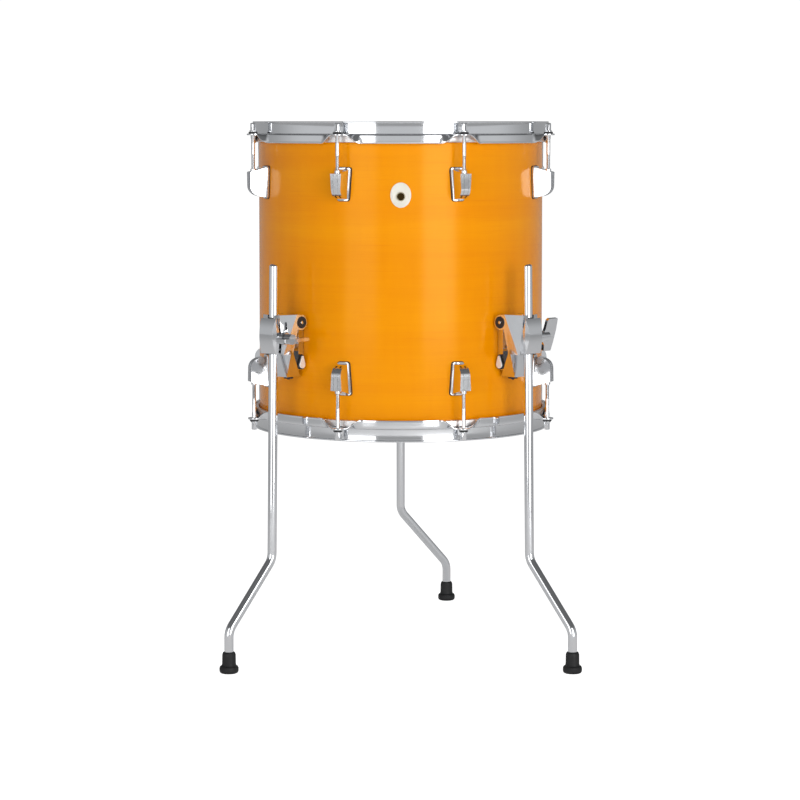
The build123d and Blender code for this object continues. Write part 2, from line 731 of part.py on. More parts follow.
# ---- write every piece ---------------------------------------------------------------
if __name__ == "__main__":
    write("shell", shell)
    write("batter_film", batter_film)
    write("batter_flesh_hoop", batter_flesh_hoop)
    write("reso_film", flipped(batter_film))
    write("reso_flesh_hoop", flipped(batter_flesh_hoop))
    write("top_hoop", top_hoop)
    write("bottom_hoop", flipped(top_hoop))
    write("top_rod_washers", [at(a, washer) for a in rod_angles])
    write("bottom_rod_washers", [at(a, flipped(washer)) for a in rod_angles])
    for i, a in enumerate(rod_angles):
        write(f"top_rod_{i + 1}", at(a, rod))
        write(f"bottom_rod_{i + 1}", at(a, flipped(rod)))
    write("upper_lugs", [at(a, lug) for a in rod_angles])
    write("lower_lugs", [at(a, flipped(lug)) for a in rod_angles])
    write("lug_gaskets", [at(a, g) for a in rod_angles for g in (lug_gasket, flipped(lug_gasket))])
    write("lug_inserts", [at(a, p) for a in rod_angles for p in (insert, flipped(insert))])
    write("lug_screws", [at(a, p) for a in rod_angles for s in lug_screws for p in (s, flipped(s))])
    write("lug_screw_washers", [at(a, p) for a in rod_angles for s in lug_washers for p in (s, flipped(s))])
    write("badge", at(-90, badge))
    write("vent_grommet", at(-90, vent))
    spots = list(bracket_angles.values())
    write("bracket_gaskets", [at(a, base_gasket) for a in spots])
    write("bracket_bases", [at(a, base) for a in spots])
    write("bracket_bodies", [at(a, body) for a in spots])
    write("bracket_caps", [at(a, cap) for a in spots])
    write("cap_screws", [at(a, s) for a in spots for s in cap_screws])
    write("bracket_pins", [at(a, hinge_pin) for a in spots])
    both = [bushing, mirror(bushing, Plane.XZ)]
    write("bracket_bushings", [at(a, b) for a in spots for b in both])
    both = [bumper, mirror(bumper, Plane.XZ)]
    write("side_bumpers", [at(a, b) for a in spots for b in both])
    both = [bumper_cap, mirror(bumper_cap, Plane.XZ)]
    write("bumper_caps", [at(a, b) for a in spots for b in both])
    write("tail_bumpers", [at(a, tail_bumper) for a in spots])
    write("bracket_screws", [at(a, s) for a in spots for s in base_screws])
    write("bracket_screw_washers", [at(a, s) for a in spots for s in base_washers])
    for name, a in bracket_angles.items():
        write(f"{name}_sleeve", at(a, sleeve))
        write(f"{name}_shoe", at(a, shoe))
        write(f"{name}_wing_screw", at(a, wing_screw(wing_turns[name])))
        write(f"{name}_leg", at(a, leg_rod(swivels[name])))
        write(f"{name}_foot", at(a, foot_at(swivels[name])))
    print("frame_shift_y", round(frame_shift_y, 4))
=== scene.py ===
import bmesh
import bpy
import math
import numpy as np
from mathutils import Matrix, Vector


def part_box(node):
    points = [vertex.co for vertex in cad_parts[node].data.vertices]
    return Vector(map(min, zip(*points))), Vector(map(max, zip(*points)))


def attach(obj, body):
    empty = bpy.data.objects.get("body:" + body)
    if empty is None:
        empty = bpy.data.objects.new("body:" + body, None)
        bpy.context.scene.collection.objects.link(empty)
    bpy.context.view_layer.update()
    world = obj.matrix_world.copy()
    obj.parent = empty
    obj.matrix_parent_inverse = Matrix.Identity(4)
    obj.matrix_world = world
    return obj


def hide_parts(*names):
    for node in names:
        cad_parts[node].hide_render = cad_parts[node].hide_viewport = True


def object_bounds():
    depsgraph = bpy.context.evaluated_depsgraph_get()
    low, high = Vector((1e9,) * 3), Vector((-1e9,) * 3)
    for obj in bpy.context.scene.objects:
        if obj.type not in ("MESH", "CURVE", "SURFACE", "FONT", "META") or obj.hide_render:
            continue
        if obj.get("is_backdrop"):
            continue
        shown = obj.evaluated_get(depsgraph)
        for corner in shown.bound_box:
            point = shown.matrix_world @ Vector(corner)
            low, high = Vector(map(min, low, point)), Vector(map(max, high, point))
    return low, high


# Floor tom on three legs. Metres, in the part's own frame: +Z up, badge at -Y.

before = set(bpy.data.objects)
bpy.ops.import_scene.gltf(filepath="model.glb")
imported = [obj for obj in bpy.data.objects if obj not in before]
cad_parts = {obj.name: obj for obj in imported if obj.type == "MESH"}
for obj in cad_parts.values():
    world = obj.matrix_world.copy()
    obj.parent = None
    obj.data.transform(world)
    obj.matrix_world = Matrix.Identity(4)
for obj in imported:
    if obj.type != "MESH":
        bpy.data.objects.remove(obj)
cad_low, cad_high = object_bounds()
TAU = 2 * math.pi

# ---- places and sizes, read from the model ---------------------------------------------
shell_lo, shell_hi = (np.array(c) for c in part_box("shell"))
AXIS = (shell_lo + shell_hi)[:2] / 2
SHELL_R = (shell_hi[0] - shell_lo[0]) / 2
SHELL_LOW, SHELL_HIGH = shell_lo[2], shell_hi[2]
MID = (SHELL_LOW + SHELL_HIGH) / 2
WALL = 0.006
EDGE_RUN = 0.002
ROD_R = 0.222
LUGS = [math.radians(-90 + 45 * (i + 0.5)) for i in range(8)]
VENT_Z = float(np.mean([c[2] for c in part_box("vent_grommet")]))
VENT_R = 0.0058
BRACKETS = {"right": math.radians(-45), "left": math.radians(-135), "rear": math.radians(90)}


# ---- surfaces ----------------------------------------------------------------------------
def skin(grid, wrap_u=False, wrap_v=False):
    """Quads between neighbouring points of a (u, v) grid; wrap joins the last row or column to
    the first."""
    nu, nv = grid.shape[:2]
    i = np.arange(nu if wrap_u else nu - 1)
    j = np.arange(nv if wrap_v else nv - 1)
    a, b = np.meshgrid(i, j, indexing="ij")
    a2, b2 = (a + 1) % nu, (b + 1) % nv
    quads = np.stack([a * nv + b, a2 * nv + b, a2 * nv + b2, a * nv + b2], -1).reshape(-1, 4)
    return grid.reshape(-1, 3), quads


def joined(parts):
    """Several (points, quads) as one."""
    points, quads, n = [], [], 0
    for p, q in parts:
        points.append(p)
        quads.append(q + n)
        n += len(p)
    return np.vstack(points), np.vstack(quads)


def round_axis(part, angle):
    """A part drawn at angle 0 (outward along +X of the drum's own axis) turned to its place."""
    p, q = part
    c, s = math.cos(angle), math.sin(angle)
    out = np.stack([c * p[:, 0] - s * p[:, 1] + AXIS[0], s * p[:, 0] + c * p[:, 1] + AXIS[1], p[:, 2]], 1)
    return out, q


def underside(part):
    """The same part at the lower end: mirrored about the shell's middle height."""
    p, q = part
    p = p.copy()
    p[:, 2] = 2 * MID - p[:, 2]
    return p, q[:, ::-1]


def piece(name, part, material, body, *nodes, sharp=35, slot=None):
    """One closed mesh from points and quads, its doubles merged, its normals outward and its
    creases kept sharp, riding on a body in place of the nodes it stands for."""
    points, quads = part
    mesh = bpy.data.meshes.new(name)
    mesh.from_pydata(points.tolist(), [], quads.tolist())
    bm = bmesh.new()
    bm.from_mesh(mesh)
    bmesh.ops.remove_doubles(bm, verts=bm.verts, dist=2e-6)
    bmesh.ops.dissolve_degenerate(bm, edges=bm.edges, dist=1e-7)
    bmesh.ops.recalc_face_normals(bm, faces=bm.faces)
    bm.to_mesh(mesh)
    bm.free()
    return dress(name, mesh, material, body, nodes, sharp)


def dress(name, mesh, material, body, nodes, sharp):
    mesh.shade_smooth()
    mesh.set_sharp_from_angle(angle=math.radians(sharp))
    mesh.materials.clear()
    mesh.materials.append(material)
    thing = bpy.data.objects.new(name, mesh)
    bpy.context.scene.collection.objects.link(thing)
    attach(thing, body)
    if nodes:
        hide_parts(*nodes)
    return thing


def cleaned(node, material, body, bevel=0.0, sharp=32, name=None):
    """A copy of a CAD node with its doubles merged, smooth faces and softened edges."""
    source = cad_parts[node]
    mesh = source.data.copy()
    bm = bmesh.new()
    bm.from_mesh(mesh)
    bmesh.ops.remove_doubles(bm, verts=bm.verts, dist=1e-6)
    bmesh.ops.dissolve_limit(
        bm, angle_limit=math.radians(0.5), verts=bm.verts, edges=bm.edges, delimit={"NORMAL"}
    )
    bm.to_mesh(mesh)
    bm.free()
    thing = dress(name or node + "_finished", mesh, material, body, (node,), sharp)
    if bevel:
        soft = thing.modifiers.new("softened edges", "BEVEL")
        soft.width = bevel
        soft.segments = 2
        soft.limit_method = "ANGLE"
        soft.angle_limit = math.radians(32)
        soft.harden_normals = True
    return thing


def turned(profile, steps=96, centre=(0.0, 0.0)):
    """Points (radius, height) carried once round an upright axis; a radius of 0 closes a pole."""
    profile = np.asarray(profile, float)
    a = np.arange(steps) * TAU / steps
    x = centre[0] + profile[:, None, 0] * np.cos(a)
    y = centre[1] + profile[:, None, 0] * np.sin(a)
    z = np.broadcast_to(profile[:, None, 1], x.shape)
    return skin(np.stack([x, y, z], -1), wrap_v=True)


def arc(cx, cz, r, a0, a1, n=6):
    """Points of a circular arc in the (radius, height) plane, angles in degrees."""
    a = np.radians(np.linspace(a0, a1, n))
    return list(zip(cx + r * np.cos(a), cz + r * np.sin(a)))


def swept(path, radius, steps=28):
    """A circle carried along a path without twisting: at each point it stands square to the
    path; radius may change along the path."""
    path = np.asarray(path, float)
    radius = np.broadcast_to(radius, len(path))
    t = np.gradient(path, axis=0)
    t /= np.linalg.norm(t, axis=1)[:, None]
    side = np.cross(t, [0.31, 0.95, 0.07])
    side /= np.linalg.norm(side, axis=1)[:, None]
    up = np.cross(t, side)
    a = np.arange(steps) * TAU / steps
    ringed = side[:, None] * np.cos(a)[:, None] + up[:, None] * np.sin(a)[:, None]
    return skin(path[:, None] + radius[:, None, None] * ringed, wrap_v=True)


# ---- materials ---------------------------------------------------------------------------
def group(name, inputs, outputs):
    tree = bpy.data.node_groups.new(name, "ShaderNodeTree")
    for label, kind, value in inputs:
        s = tree.interface.new_socket(name=label, in_out="INPUT", socket_type=kind)
        if value is not None:
            s.default_value = value
    for label, kind in outputs:
        tree.interface.new_socket(name=label, in_out="OUTPUT", socket_type=kind)
    return tree, tree.nodes.new("NodeGroupInput"), tree.nodes.new("NodeGroupOutput")


def link(tree, a, b):
    tree.links.new(a, b)


def math_node(tree, kind, a, b=None):
    n = tree.nodes.new("ShaderNodeMath")
    n.operation = kind
    for i, v in enumerate((a, b)):
        if v is None:
            continue
        if hasattr(v, "is_linked"):
            tree.links.new(v, n.inputs[i])
        else:
            n.inputs[i].default_value = v
    return n.outputs[0]


def make_handling():
    """Slow cloudy change plus fine specks: the unevenness of a handled, wiped surface."""
    tree, gin, gout = group(
        "handling marks",
        [
            ("Size", "NodeSocketFloat", 20.0),
            ("Low", "NodeSocketFloat", 0.1),
            ("High", "NodeSocketFloat", 0.2),
            ("Bump", "NodeSocketFloat", 0.02),
        ],
        [("Roughness", "NodeSocketFloat"), ("Height", "NodeSocketFloat")],
    )
    coord = tree.nodes.new("ShaderNodeTexCoord")
    cloud = tree.nodes.new("ShaderNodeTexNoise")
    cloud.inputs["Detail"].default_value = 4
    link(tree, coord.outputs["Object"], cloud.inputs["Vector"])
    link(tree, gin.outputs["Size"], cloud.inputs["Scale"])
    span = tree.nodes.new("ShaderNodeMapRange")
    span.inputs["From Min"].default_value = 0.35
    span.inputs["From Max"].default_value = 0.68
    link(tree, cloud.outputs["Fac"], span.inputs["Value"])
    link(tree, gin.outputs["Low"], span.inputs["To Min"])
    link(tree, gin.outputs["High"], span.inputs["To Max"])
    link(tree, span.outputs["Result"], gout.inputs["Roughness"])
    grain = tree.nodes.new("ShaderNodeTexNoise")
    grain.inputs["Scale"].default_value = 900
    grain.inputs["Detail"].default_value = 2
    link(tree, coord.outputs["Object"], grain.inputs["Vector"])
    height = math_node(tree, "MULTIPLY", grain.outputs["Fac"], gin.outputs["Bump"])
    link(tree, height, gout.inputs["Height"])
    return tree


HANDLING = make_handling()


def plain(name, colour, rough=(0.3, 0.4), metal=0.0, size=20.0, bump=0.0, coat=0.0, **more):
    """A material whose roughness wanders between two values, with an optional fine bump."""
    mat = bpy.data.materials.new(name)
    mat.use_nodes = True
    tree = mat.node_tree
    bsdf = tree.nodes["Principled BSDF"]
    bsdf.inputs["Base Color"].default_value = (*colour, 1)
    bsdf.inputs["Metallic"].default_value = metal
    bsdf.inputs["Coat Weight"].default_value = coat
    for key, value in more.items():
        bsdf.inputs[key.replace("_", " ")].default_value = value
    marks = tree.nodes.new("ShaderNodeGroup")
    marks.node_tree = HANDLING
    marks.inputs["Size"].default_value = size
    marks.inputs["Low"].default_value = rough[0]
    marks.inputs["High"].default_value = rough[1]
    marks.inputs["Bump"].default_value = 1.0
    link(tree, marks.outputs["Roughness"], bsdf.inputs["Roughness"])
    if bump:
        b = tree.nodes.new("ShaderNodeBump")
        b.inputs["Strength"].default_value = bump
        b.inputs["Distance"].default_value = 0.0004
        link(tree, marks.outputs["Height"], b.inputs["Height"])
        link(tree, b.outputs["Normal"], bsdf.inputs["Normal"])
    return mat


def maple_lacquer():
    """Amber lacquer over maple: fine grain lines running round the shell, soft cross figure and
    a seam-free slow change of tone, all from the angle round the drum and the height."""
    mat = bpy.data.materials.new("amber lacquered maple")
    mat.use_nodes = True
    tree = mat.node_tree
    bsdf = tree.nodes["Principled BSDF"]
    coord = tree.nodes.new("ShaderNodeTexCoord")
    sep = tree.nodes.new("ShaderNodeSeparateXYZ")
    link(tree, coord.outputs["Object"], sep.inputs[0])
    x = math_node(tree, "SUBTRACT", sep.outputs["X"], float(AXIS[0]))
    y = math_node(tree, "SUBTRACT", sep.outputs["Y"], float(AXIS[1]))
    ang = math_node(tree, "ARCTAN2", x, math_node(tree, "MULTIPLY", y, -1.0))
    along = math_node(tree, "MULTIPLY", ang, float(SHELL_R))

    def stretched(sx, sz, detail, distort):
        comb = tree.nodes.new("ShaderNodeCombineXYZ")
        link(tree, math_node(tree, "MULTIPLY", along, sx), comb.inputs["X"])
        link(tree, math_node(tree, "MULTIPLY", sep.outputs["Z"], sz), comb.inputs["Y"])
        n = tree.nodes.new("ShaderNodeTexNoise")
        n.inputs["Scale"].default_value = 1
        n.inputs["Detail"].default_value = detail
        n.inputs["Distortion"].default_value = distort
        link(tree, comb.outputs[0], n.inputs["Vector"])
        return n.outputs["Fac"]

    lines = stretched(4, 420, 4, 0.2)
    wide = stretched(1.6, 26, 4, 0.6)
    figure = stretched(60, 7, 3, 0.6)
    streak = tree.nodes.new("ShaderNodeMapRange")
    streak.inputs["From Min"].default_value = 0.60
    streak.inputs["From Max"].default_value = 0.74
    link(tree, stretched(11, 520, 2, 0.1), streak.inputs["Value"])
    ramp = tree.nodes.new("ShaderNodeValToRGB")
    ramp.color_ramp.elements[0].position = 0.26
    ramp.color_ramp.elements[0].color = (0.88, 0.262, 0.0, 1)
    ramp.color_ramp.elements[1].position = 0.76
    ramp.color_ramp.elements[1].color = (0.97, 0.350, 0.0, 1)
    total = math_node(tree, "MULTIPLY", lines, 0.22)
    total = math_node(tree, "ADD", total, math_node(tree, "MULTIPLY", wide, 0.58))
    total = math_node(tree, "ADD", total, math_node(tree, "MULTIPLY", figure, 0.20))
    total = math_node(tree, "SUBTRACT", total, math_node(tree, "MULTIPLY", streak.outputs[0], 0.16))
    link(tree, total, ramp.inputs["Fac"])
    inner = tree.nodes.new("ShaderNodeMix")
    inner.data_type = "RGBA"
    radius = math_node(tree, "SQRT", math_node(tree, "ADD", math_node(tree, "MULTIPLY", x, x), math_node(tree, "MULTIPLY", y, y)))
    outside = math_node(tree, "GREATER_THAN", radius, float(SHELL_R) - 0.0012)
    link(tree, outside, inner.inputs["Factor"])
    bare = tree.nodes.new("ShaderNodeValToRGB")
    bare.color_ramp.elements[0].position = 0.3
    bare.color_ramp.elements[0].color = (0.50, 0.33, 0.17, 1)
    bare.color_ramp.elements[1].position = 0.7
    bare.color_ramp.elements[1].color = (0.70, 0.52, 0.31, 1)
    link(tree, total, bare.inputs["Fac"])
    link(tree, bare.outputs["Color"], inner.inputs["A"])
    link(tree, ramp.outputs["Color"], inner.inputs["B"])
    # Painted shade: the shell has no hole at the vent, so a near-black disc of the vent's radius is painted on the
    # front of the shell to stand in for the dark inside of the drum seen through the hole.
    off = math_node(tree, "SUBTRACT", sep.outputs["Z"], VENT_Z)
    from_vent = math_node(tree, "ADD", math_node(tree, "MULTIPLY", x, x), math_node(tree, "MULTIPLY", off, off))
    vent_shade_disc = math_node(tree, "LESS_THAN", from_vent, VENT_R**2)
    front = math_node(tree, "LESS_THAN", y, 0.0)
    vent_shade_disc = math_node(tree, "MULTIPLY", vent_shade_disc, front)
    vent_shade_mix = tree.nodes.new("ShaderNodeMix")
    vent_shade_mix.data_type = "RGBA"
    link(tree, vent_shade_disc, vent_shade_mix.inputs["Factor"])
    link(tree, inner.outputs["Result"], vent_shade_mix.inputs["A"])
    vent_shade_mix.inputs["B"].default_value = (0.022, 0.010, 0.004, 1)
    link(tree, vent_shade_mix.outputs["Result"], bsdf.inputs["Base Color"])
    link(tree, math_node(tree, "MULTIPLY_ADD", lines, 0.10), bsdf.inputs["Roughness"])
    bsdf.inputs["Roughness"].links[0].from_node.inputs[2].default_value = 0.15
    bsdf.inputs["Specular IOR Level"].default_value = 0.36
    bsdf.inputs["Specular Tint"].default_value = (1.0, 0.80, 0.20, 1)
    # The coat is left off inside the painted vent-shade disc, so it reads as an opening rather than lacquer.
    coat = math_node(tree, "SUBTRACT", 1.0, vent_shade_disc)
    link(tree, math_node(tree, "MULTIPLY", coat, 0.07), bsdf.inputs["Coat Weight"])
    bsdf.inputs["Coat Roughness"].default_value = 0.17
    b = tree.nodes.new("ShaderNodeBump")
    b.inputs["Strength"].default_value = 0.05
    b.inputs["Distance"].default_value = 0.0003
    link(tree, lines, b.inputs["Height"])
    link(tree, b.outputs["Normal"], bsdf.inputs["Normal"])
    return mat


MAPLE = maple_lacquer()
CHROME = plain("chrome plate", (0.80, 0.81, 0.83), (0.05, 0.10), 1.0, 16)
CAST_CHROME = plain("chromed casting", (0.76, 0.77, 0.79), (0.07, 0.13), 1.0, 30, 0.04)
ZINC = plain("zinc plated steel", (0.60, 0.60, 0.61), (0.25, 0.38), 1.0, 60, 0.1)
RUBBER = plain("black rubber", (0.018, 0.018, 0.02), (0.55, 0.7), 0.0, 40, 0.3)
FOOT_RUBBER = plain("dark grey rubber", (0.006, 0.006, 0.007), (0.5, 0.65), 0.0, 40, 0.2)
NYLON = plain("black nylon", (0.02, 0.02, 0.022), (0.35, 0.45), 0.0, 40, 0.05)
COATED = plain("frosted head coating", (0.86, 0.86, 0.84), (0.6, 0.78), 0.0, 24, 0.6)
CLEAR = plain("clear head film", (0.88, 0.90, 0.91), (0.08, 0.14), 0.0, 12, 0.0)
ALUMINIUM = plain("plain aluminium", (0.86, 0.86, 0.87), (0.38, 0.5), 1.0, 30, 0.1)
SATIN = plain("satin bumper cap", (0.90, 0.90, 0.90), (0.28, 0.40), 0.35, 60, 0.05)
BADGE = plain("cream badge metal", (0.86, 0.83, 0.74), (0.30, 0.42), 0.35, 60, 0.12)
BRASS = plain("plated eyelet", (0.80, 0.72, 0.52), (0.15, 0.25), 1.0, 60)

# ---- shell -------------------------------------------------------------------------------
crown = SHELL_R - EDGE_RUN
inner = SHELL_R - WALL
fall = crown - inner
e = 0.0009
half = [
    (inner, MID),
    (inner, SHELL_HIGH - fall - 0.0005),
    (inner + 0.0003, SHELL_HIGH - fall),
    (crown - 0.0009, SHELL_HIGH - e),
    (crown - 0.0003, SHELL_HIGH - 0.0001),
    (crown, SHELL_HIGH),
    (crown + 0.0006, SHELL_HIGH - 0.0002),
    (SHELL_R - 0.0005, SHELL_HIGH - 0.0012),
    (SHELL_R - 0.0001, SHELL_HIGH - 0.0018),
    (SHELL_R, SHELL_HIGH - 0.0026),
    (SHELL_R, MID),
]
half = np.array(half)
low_half = half[::-1].copy()
low_half[:, 1] = 2 * MID - low_half[:, 1]
shell = piece("shell_wood", turned(np.vstack([half, low_half]), 288, AXIS), MAPLE, "drum", "shell", sharp=30)

# ---- heads -------------------------------------------------------------------------------
FILM = 0.0003
FILM_R = SHELL_R + 0.0014


def head_part():
    """Flat film, a rounded knee over the bearing edge and a straight collar, given thickness."""
    rs = np.linspace(0, crown - 0.004, 24)
    flat = [(r, SHELL_HIGH + FILM) for r in rs]
    top = flat + arc(crown - 0.002, SHELL_HIGH + FILM - 0.0052, 0.0052, 78, 0, 9)
    top = top + [(FILM_R + FILM, SHELL_HIGH - 0.0075), (FILM_R + FILM, SHELL_HIGH - 0.0145)]
    top = [(min(r, FILM_R + FILM), z) for r, z in top]
    back = [(max(r - FILM, 0.0), z - (FILM if z > SHELL_HIGH - 0.003 else 0.0)) for r, z in top][::-1]
    return turned(top + back, 192)


head = head_part()
piece("batter_skin", round_axis(head, 0), COATED, "drum", "batter_film", sharp=60)
piece("resonant_skin", round_axis(underside(head), 0), CLEAR, "drum", "reso_film", sharp=60)
cleaned("batter_flesh_hoop", ALUMINIUM, "drum")
cleaned("reso_flesh_hoop", ALUMINIUM, "drum")

# ---- hoops -------------------------------------------------------------------------------
hoop_lo, hoop_hi = (np.array(c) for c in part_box("top_hoop"))
LIP_HIGH = hoop_hi[2]
T = 0.0023
WALL_MID_R = 0.2073 - T / 2
STEP_MID_Z = SHELL_HIGH - 0.0071 + 0.0003 + T / 2
SKIRT_LOW = hoop_lo[2]
BEND = 0.0016
EAR = 0.0095
BELL_RUN = 0.0240          # from an ear's side to where the skirt hangs straight
EDGE_BULGE = 0.35          # 1 rounds a strip's edge fully, 0 leaves it square


def hoop_part():
    """A strip of constant thickness folded three times: in from the lip, down the wall, out over
    the step, and down the skirt. Near each rod the last fold opens by a smooth step of the
    distance round the hoop until the flange lies flat, and its edge follows a round ear. The
    centre line is summed up from short steps along a heading, then half the thickness is laid
    off to each side, with a half circle at each end."""
    v_in = np.concatenate([np.linspace(0, 0.0088, 9), 0.0095 * np.sin(np.radians(np.linspace(70, 90, 9)))])
    v_out = np.concatenate([np.linspace(0.0097, 0.042, 32), np.linspace(0.046, 0.0870, 8)])
    v = np.unique(np.round(np.concatenate([v_in, v_out]), 6))
    one = v / ROD_R
    one = one[one < math.radians(22.5)]
    one = np.concatenate([-one[::-1], [], one[1:]])
    theta = np.concatenate([one + a for a in LUGS])
    dist = np.abs(np.tile(one, 8)) * ROD_R
    open_by = 1 - np.clip((dist - EAR) / BELL_RUN, 0, 1)
    open_by = open_by**2 * (3 - 2 * open_by)
    swing = -np.pi / 2 * (1 - open_by)
    lip = 0.211 - T / 2
    wall_len = LIP_HIGH - T / 2 - STEP_MID_Z - 2 * BEND
    out_len = SHELL_R + 0.0014 + 0.0003 + 0.0054 + 0.0006 + T / 2 - WALL_MID_R - 2 * BEND
    step_end = WALL_MID_R + BEND + out_len
    skirt_len = STEP_MID_Z - BEND - SKIRT_LOW - T / 2
    inside = dist < EAR
    round_tip = ROD_R * np.cos(dist / ROD_R) + np.sqrt(np.clip(EAR**2 - dist**2, 0, None)) - T / 2
    ear_len = np.where(inside, round_tip - step_end, 0)
    flat_len = ROD_R - T / 2 - step_end
    blend = np.clip((dist - EAR) / (1.35 * BELL_RUN), 0, 1)
    blend = blend * (2 - blend)
    flange = np.where(inside, ear_len, flat_len + (skirt_len - flat_len) * blend)
    n = len(theta)
    head, step = [np.full(n, np.pi)], [np.zeros(n)]

    def go(length, heading, parts=1):
        for _ in range(parts):
            head.append(np.broadcast_to(heading, n).astype(float))
            step.append(np.broadcast_to(length, n) / parts)

    def bend(h0, h1, parts=5):
        turn = (np.asarray(h1) - h0) / parts
        for k in range(parts):
            head.append(h0 + turn * (k + 0.5))
            step.append(np.abs(turn) * BEND * np.ones(n))
        head[-parts:] = [np.broadcast_to(h, n).astype(float) for h in head[-parts:]]

    go(lip - WALL_MID_R - BEND, np.pi)
    bend(np.pi, 1.5 * np.pi)
    go(wall_len, 1.5 * np.pi, 2)
    bend(1.5 * np.pi, 2 * np.pi)
    go(out_len, 0)
    bend(2 * np.pi, 2 * np.pi + swing)
    go(flange, swing, 4)
    head, step = np.array(head), np.array(step)
    r = lip + np.cumsum(step * np.cos(head), 0)
    z = LIP_HIGH - T / 2 + np.cumsum(step * np.sin(head), 0)
    nr = -np.sin(head)
    nz = np.cos(head)
    mid_nr = nr.copy()
    mid_nz = nz.copy()
    mid_nr[1:-1] = nr[1:-1] + nr[2:]
    mid_nz[1:-1] = nz[1:-1] + nz[2:]
    size = np.hypot(mid_nr, mid_nz)
    mid_nr, mid_nz = mid_nr / size, mid_nz / size
    one_side = [(r + mid_nr * T / 2, z + mid_nz * T / 2)]
    other = [((r - mid_nr * T / 2)[::-1], (z - mid_nz * T / 2)[::-1])]

    def cap(row, sign):
        out_r, out_z = [], []
        h = head[row]
        for a in np.radians([60, 30, 0, -30, -60]):
            ca, sa = math.cos(a), math.sin(a)
            out_r.append(r[row] + T / 2 * (sign * EDGE_BULGE * ca * np.cos(h) + sign * sa * mid_nr[row]))
            out_z.append(z[row] + T / 2 * (sign * EDGE_BULGE * ca * np.sin(h) + sign * sa * mid_nz[row]))
        return np.array(out_r), np.array(out_z)

    end, start = cap(-1, 1), cap(0, -1)
    rr = np.vstack([one_side[0][0], end[0], other[0][0], start[0]])
    zz = np.vstack([one_side[0][1], end[1], other[0][1], start[1]])
    x, y = rr * np.cos(theta), rr * np.sin(theta)
    return skin(np.stack([x, y, zz], -1), wrap_u=True, wrap_v=True)


hoop = hoop_part()
piece("top_hoop_steel", round_axis(hoop, 0), CHROME, "top_hoop", "top_hoop", sharp=50)
piece("bottom_hoop_steel", round_axis(underside(hoop), 0), CHROME, "bottom_hoop", "bottom_hoop", sharp=50)
cleaned("top_rod_washers", NYLON, "top_hoop", 0.0002)
cleaned("bottom_rod_washers", NYLON, "bottom_hoop", 0.0002)

# ---- tension rods ------------------------------------------------------------------------
rod_lo, rod_hi = (np.array(c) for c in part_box("top_rod_1"))
ROD_LOW, ROD_HIGH = rod_lo[2], rod_hi[2]
PITCH = 0.0254 / 24
SHANK = 0.00275
HEAD = 0.0106
FLANGE = 0.0016


def rod_part():
    """A screw: radius = crest less a triangle wave of height / pitch less turn, faded in at both
    ends of the thread; then a plain shank, a round flange and a square head whose radius is
    (|cos|^n + |sin|^n)^(-1/n), n growing from round to nearly square."""
    steps = 24
    a = np.arange(steps) * TAU / steps
    z_thread = np.arange(ROD_LOW + 0.0006, ROD_LOW + 0.034, PITCH / 5)
    wave = np.abs(((z_thread[:, None] / PITCH - a / TAU) % 1) - 0.5) * 2
    fade = np.clip((z_thread - ROD_LOW) / 0.002, 0, 1) * np.clip((ROD_LOW + 0.034 - z_thread) / 0.002, 0, 1)
    r_thread = SHANK - 0.00055 * wave * fade[:, None]
    seat = ROD_HIGH - HEAD - FLANGE
    rows = [(ROD_LOW, 0, 2), (ROD_LOW, SHANK - 0.0007, 2), (ROD_LOW + 0.0004, SHANK - 0.0004, 2)]
    upper = [(ROD_LOW + 0.036, SHANK, 2), (seat - 0.0006, SHANK, 2), (seat - 0.0002, SHANK + 0.0002, 2)]
    upper += [(seat, 0.0049, 2), (seat + 0.0003, 0.0052, 2), (seat + 0.0012, 0.0052, 2)]
    upper += [(seat + FLANGE, 0.0047, 2), (seat + FLANGE + 0.0002, 0.0034, 3)]
    upper += [(seat + FLANGE + 0.0005, 0.00318, 9), (ROD_HIGH - 0.0010, 0.00318, 9), (ROD_HIGH - 0.0004, 0.0029, 8)]
    upper += [(ROD_HIGH - 0.0001, 0.0022, 4), (ROD_HIGH, 0.0012, 2), (ROD_HIGH, 0, 2)]

    def ringed(list_of):
        z, r, n = np.array(list_of).T
        flat = (np.abs(np.cos(a)) ** n[:, None] + np.abs(np.sin(a)) ** n[:, None]) ** (-1 / n[:, None])
        return r[:, None] * flat, np.broadcast_to(z[:, None], (len(z), steps))

    r0, z0 = ringed(rows)
    r2, z2 = ringed(upper)
    r = np.vstack([r0, r_thread, r2])
    z = np.vstack([z0, np.broadcast_to(z_thread[:, None], r_thread.shape), z2])
    x = ROD_R + r * np.cos(a)
    y = r * np.sin(a)
    return skin(np.stack([x, y, z], -1), wrap_v=True)


rod = rod_part()
for i, at in enumerate(LUGS):
    piece(f"top_rod_{i + 1}_steel", round_axis(rod, at), CHROME, f"top_rod_{i + 1}", f"top_rod_{i + 1}", sharp=40)
    low = round_axis(underside(rod), at)
    piece(f"bottom_rod_{i + 1}_steel", low, CHROME, f"bottom_rod_{i + 1}", f"bottom_rod_{i + 1}", sharp=40)

